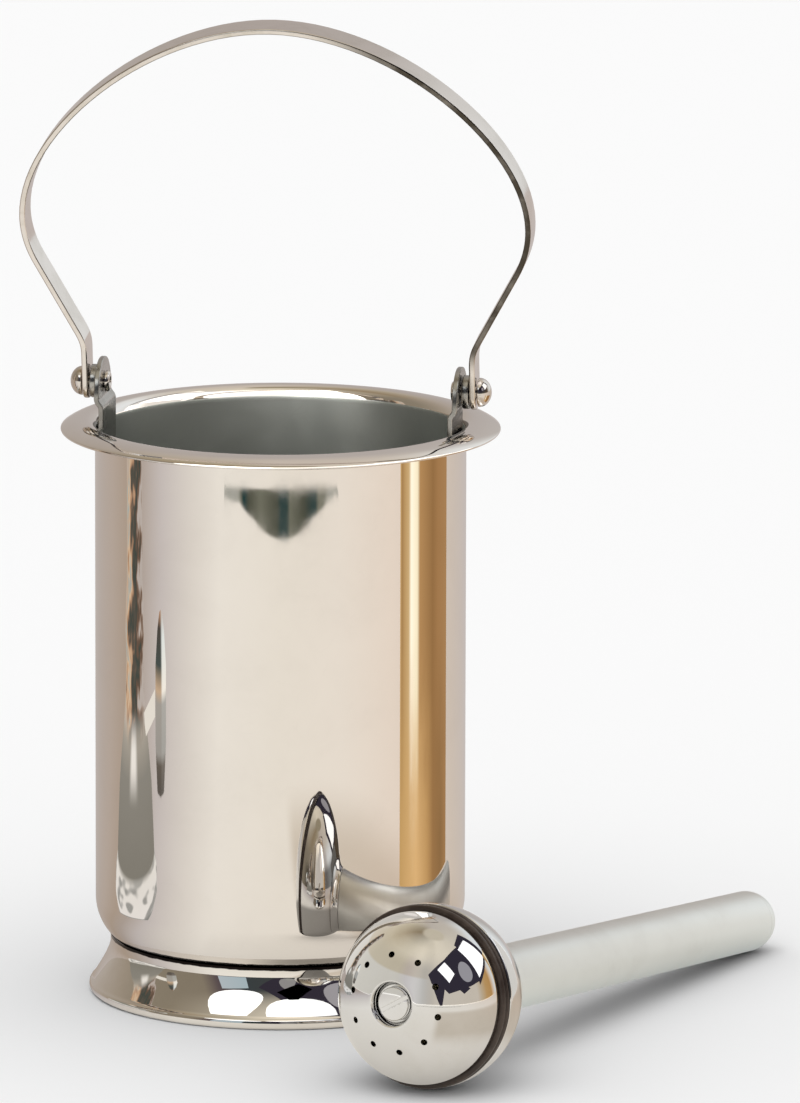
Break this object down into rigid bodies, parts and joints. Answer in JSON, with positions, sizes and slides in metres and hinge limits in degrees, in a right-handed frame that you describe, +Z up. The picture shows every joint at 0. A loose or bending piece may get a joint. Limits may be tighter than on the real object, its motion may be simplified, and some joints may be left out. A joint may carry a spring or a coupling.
{
  "type": "holy water bucket with sprinkler",
  "caption": "Cylindrical holy water bucket with rolled brim, flared foot and strap bail on ears, with a ball-headed sprinkler lying beside it.",
  "frame": {"origin": "on the table under the middle of the whole set, bucket and sprinkler together", "axes": "+Z up along the bucket's axis; +X along the bail's rivets, towards the side where the sprinkler lies; -Y towards the side that the picture shows"},
  "size_m": [0.1996, 0.2062, 0.2715],
  "materials": {
    "polished_steel": "mirror-polished stainless steel outside, brushed inside",
    "ear_steel": "bright stainless sheet with faint brushing",
    "rivet_steel": "polished rivet head",
    "bail_steel": "polished stainless strap, faintly wavy from bending",
    "head_chrome": "polished, pale grey",
    "seal_rubber": "dark brown, dull",
    "sponge_foam": "open natural sponge",
    "satin_steel": "turned, satin",
    "handle_satin": "fine satin tube with lengthwise sheen"
  },
  "bodies": {
    "bucket": {"bucket_body": "polished_steel", "foot_ring": "polished_steel", "ear_left": "ear_steel", "ear_right": "ear_steel", "pivot_rivet_left": "rivet_steel", "pivot_rivet_right": "rivet_steel", "spacer_washer_left": "ear_steel", "spacer_washer_right": "ear_steel"},
    "bail": {"bail": "bail_steel"},
    "sprinkler": {"rear_shell": "head_chrome", "cap_seal": "seal_rubber", "sponge": "sponge_foam", "centre_post": "satin_steel", "post_nut": "satin_steel", "handle_collar": "head_chrome", "handle_plug": "satin_steel", "handle_tube": "handle_satin", "handle_end_cap": "handle_satin"},
    "sprinkler_cap": {"spray_cap": "head_chrome"},
    "cap_screw": {"cap_screw": "head_chrome"}
  },
  "joints": [
    {"name": "bail_swing", "type": "hinge", "parent": "bucket", "child": "bail", "pos_m": [-0.02926, 0.0285, 0.1685], "axis": [1, 0, 0], "range_deg": [-113, 97]},
    {"name": "sprinkler_lift", "type": "slide", "parent": "bucket", "child": "sprinkler", "axis": [0, 0, 1], "range_m": [0, 0.08]},
    {"name": "cap_pull", "type": "slide", "parent": "sprinkler", "child": "sprinkler_cap", "axis": [-0.3342, -0.9384, 0.0876], "range_m": [0, 0.03]},
    {"name": "screw_turn", "type": "hinge", "parent": "sprinkler_cap", "child": "cap_screw", "pos_m": [0.02814, -0.0827, 0.02498], "axis": [-0.3342, -0.9384, 0.0876], "continuous": true}
  ]
}
